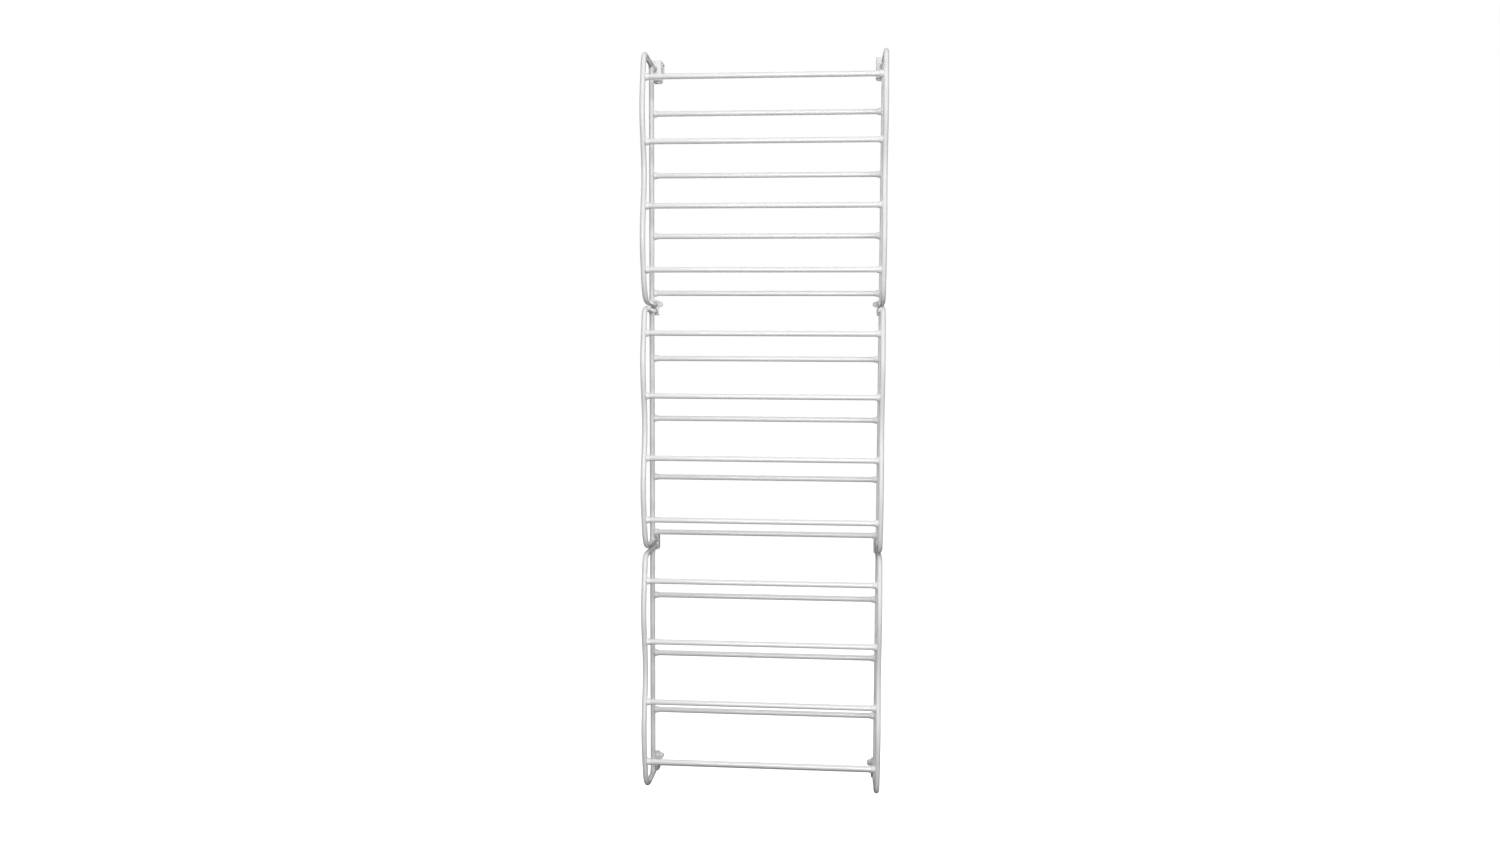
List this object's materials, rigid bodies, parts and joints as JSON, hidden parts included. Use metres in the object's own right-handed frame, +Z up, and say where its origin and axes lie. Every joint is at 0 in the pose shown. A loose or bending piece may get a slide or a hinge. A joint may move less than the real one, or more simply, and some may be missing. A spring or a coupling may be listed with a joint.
{
  "type": "over-door shoe rack",
  "caption": "Tall white rack of paired horizontal rods between wavy looped side frames, stacked in modules and hung over a door by hooks.",
  "frame": {"origin": "top front edge of the door the rack hangs on, midway between the two hooks: the door's face plane and the underside of the hook plates", "axes": "+Z up along the rack's height, +Y into the door (so the rack stands out towards -Y), +X along the door to the viewer's right"},
  "size_m": [0.606, 0.2617, 1.881],
  "materials": {
    "white_plastic": "satin white moulded",
    "white_coated_steel": "smooth white coating",
    "soft_pad": "matt soft pad"
  },
  "bodies": {
    "root": {"side_frame_left_top": "white_plastic", "side_frame_left_middle": "white_plastic", "side_frame_left_bottom": "white_plastic", "side_frame_right_top": "white_plastic", "side_frame_right_middle": "white_plastic", "side_frame_right_bottom": "white_plastic", "rod_front_01": "white_coated_steel", "rod_front_02": "white_coated_steel", "rod_front_03": "white_coated_steel", "rod_front_04": "white_coated_steel", "rod_front_05": "white_coated_steel", "rod_front_06": "white_coated_steel", "rod_front_07": "white_coated_steel", "rod_front_08": "white_coated_steel", "rod_front_09": "white_coated_steel", "rod_front_10": "white_coated_steel", "rod_front_11": "white_coated_steel", "rod_front_12": "white_coated_steel", "rod_back_01": "white_coated_steel", "rod_back_02": "white_coated_steel", "rod_back_03": "white_coated_steel", "rod_back_04": "white_coated_steel", "rod_back_05": "white_coated_steel", "rod_back_06": "white_coated_steel", "rod_back_07": "white_coated_steel", "rod_back_08": "white_coated_steel", "rod_back_09": "white_coated_steel", "rod_back_10": "white_coated_steel", "rod_back_11": "white_coated_steel", "rod_back_12": "white_coated_steel", "hook_clip_left": "white_plastic", "joint_clip_left_upper": "white_plastic", "joint_clip_left_lower": "white_plastic", "end_clip_left": "white_plastic", "door_pad_left_upper": "soft_pad", "door_pad_left_lower": "soft_pad", "door_pad_left_bottom": "soft_pad", "door_hook_left": "white_coated_steel", "hook_clip_right": "white_plastic", "joint_clip_right_upper": "white_plastic", "joint_clip_right_lower": "white_plastic", "end_clip_right": "white_plastic", "door_pad_right_upper": "soft_pad", "door_pad_right_lower": "soft_pad", "door_pad_right_bottom": "soft_pad", "door_hook_right": "white_coated_steel"}
  },
  "joints": []
}
